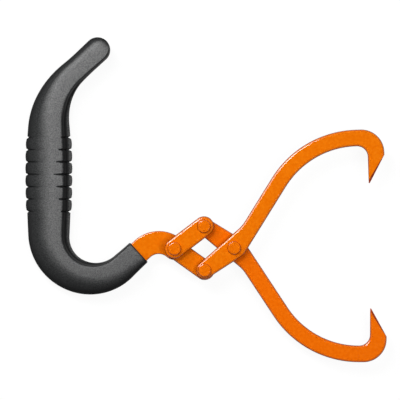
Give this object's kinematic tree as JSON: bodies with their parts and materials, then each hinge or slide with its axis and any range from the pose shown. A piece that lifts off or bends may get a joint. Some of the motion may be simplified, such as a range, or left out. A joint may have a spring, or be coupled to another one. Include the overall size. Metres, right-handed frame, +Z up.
{
  "type": "log tongs",
  "caption": "Log tongs: ribbed J-shaped grip on a swan-neck steel shank, with hooked jaws on a riveted linkage that closes them on a log when the grip is pulled.",
  "frame": {"origin": "middle of the footprint of the tongs lying flat, on the surface they lie on", "axes": "+X from the grip to the jaws, +Y along the ribbed straight to the free end of the grip, +Z up, along the rivets, out of the flat surface"},
  "size_m": [0.3066, 0.2758, 0.0303],
  "materials": {
    "grip_plastic": "fine grained",
    "orange_paint": "gloss powder coat",
    "rivet_paint": "gloss powder coat"
  },
  "bodies": {
    "handle": {"grip": "grip_plastic", "shank": "orange_paint", "shank_rivet": "rivet_paint"},
    "upper_link": {"upper_link": "orange_paint", "upper_rivet": "rivet_paint"},
    "lower_link": {"lower_link": "orange_paint"},
    "lower_jaw": {"lower_jaw": "orange_paint", "jaw_rivet": "rivet_paint"},
    "upper_jaw": {"upper_jaw": "orange_paint", "lower_rivet": "rivet_paint"}
  },
  "joints": [
    {"name": "tongs_swing", "type": "hinge", "parent": "handle", "child": "upper_link", "pos_m": [-0.02657, -0.04154, 0.0187], "axis": [0, 0, 1], "range_deg": [-32, 50]},
    {"name": "lower_link_turn", "type": "hinge", "parent": "upper_link", "child": "lower_link", "pos_m": [-0.02657, -0.04154, 0.0187], "axis": [0, 0, 1], "range_deg": [-56, 36]},
    {"name": "lower_jaw_turn", "type": "hinge", "parent": "upper_link", "child": "lower_jaw", "pos_m": [-0.00156, -0.02255, 0.0187], "axis": [0, 0, 1], "range_deg": [-56, 36]},
    {"name": "jaws_opening", "type": "hinge", "parent": "lower_jaw", "child": "upper_jaw", "pos_m": [0.02397, -0.04083, 0.0187], "axis": [0, 0, 1], "range_deg": [-36, 56]}
  ],
  "couplings": [
    {"joint": "lower_link_turn", "follows": "jaws_opening", "ratio": -1},
    {"joint": "lower_jaw_turn", "follows": "jaws_opening", "ratio": -1}
  ]
}
